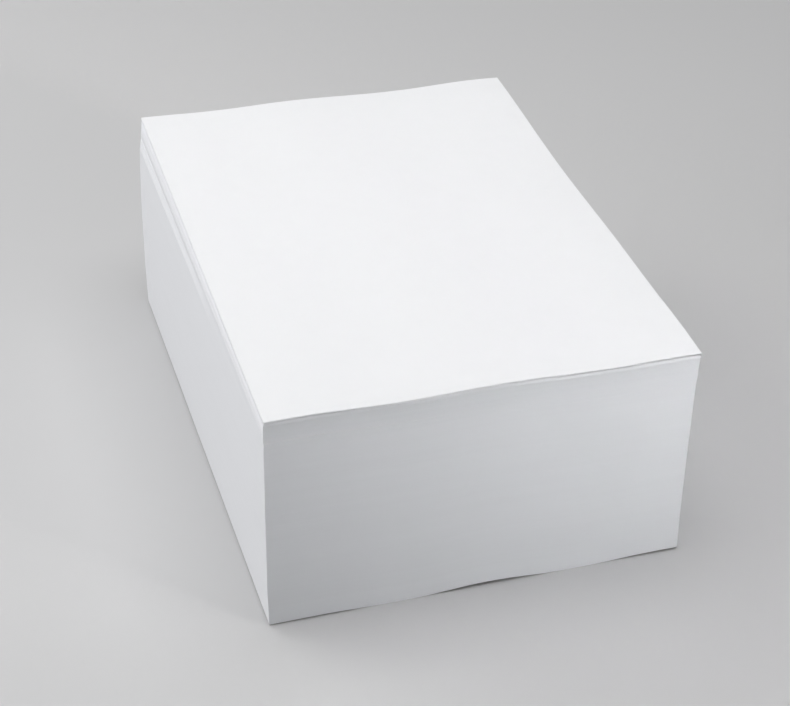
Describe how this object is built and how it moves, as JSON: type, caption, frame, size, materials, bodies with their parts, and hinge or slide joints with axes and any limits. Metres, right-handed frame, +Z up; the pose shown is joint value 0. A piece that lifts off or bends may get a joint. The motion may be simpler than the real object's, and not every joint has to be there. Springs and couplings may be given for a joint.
{
  "type": "ream of paper",
  "caption": "Open pile of plain white copier paper with gently waved sheets, a squared lower block and turned, fanned bundles and loose sheets on top.",
  "frame": {"origin": "centre of the pile's base, on the surface that it stands on", "axes": "+X along the short side of the sheets, +Y along the long side, away from the viewer, +Z up through the pile"},
  "size_m": [0.2131, 0.2993, 0.1213],
  "materials": {
    "paper": "matte",
    "paper_edges": "matte"
  },
  "bodies": {
    "root": {"squared_block": "paper_edges", "ledge_bundle_1": "paper_edges", "ledge_bundle_2": "paper_edges", "upright_bundle": "paper_edges", "fan_bundle_1": "paper_edges", "fan_bundle_2": "paper_edges", "fan_bundle_3": "paper_edges", "fan_bundle_4": "paper_edges", "fan_bundle_5": "paper_edges", "lip_bundle": "paper_edges", "loose_sheet_1": "paper", "loose_sheet_2": "paper", "loose_sheet_3": "paper", "loose_sheet_4": "paper", "top_sheet": "paper"}
  },
  "joints": []
}
